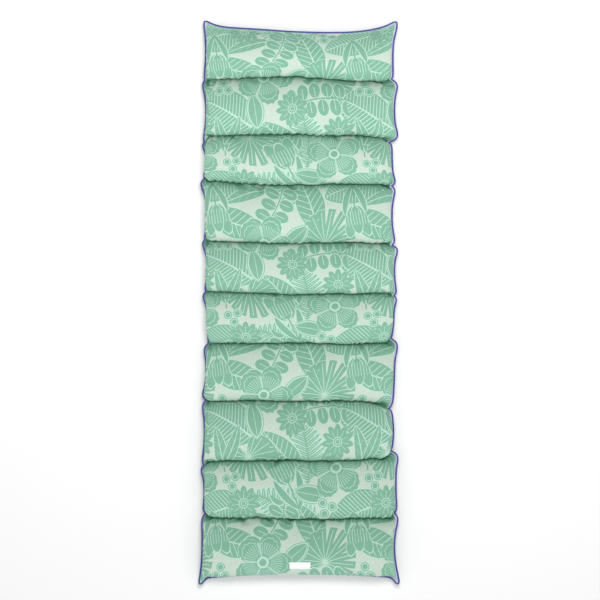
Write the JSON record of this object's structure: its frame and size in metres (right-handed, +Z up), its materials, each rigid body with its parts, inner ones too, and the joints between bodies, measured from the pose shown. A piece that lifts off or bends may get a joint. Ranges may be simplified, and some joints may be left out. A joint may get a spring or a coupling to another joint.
{
  "type": "sun lounger cushion",
  "caption": "Long quilted sun lounger cushion: a filled cloth cover sewn across into plump channels, with an overlocked contrast edge and a small plain label near the foot",
  "frame": {"origin": "under the middle of the cushion, on the surface that it lies on", "axes": "+X across the cushion, +Y along it towards its head, +Z up out of its face"},
  "size_m": [0.669, 1.869, 0.0829],
  "materials": {
    "cover": "plain-woven cotton canvas printed with a two-tone green leaf and flower design, matt",
    "edging": "violet-blue overlock stitching over a folded cloth edge, slight thread sheen",
    "label": "bare white woven ribbon, matt"
  },
  "bodies": {
    "root": {"cushion": "cover", "edging": "edging", "label": "label"}
  },
  "joints": []
}
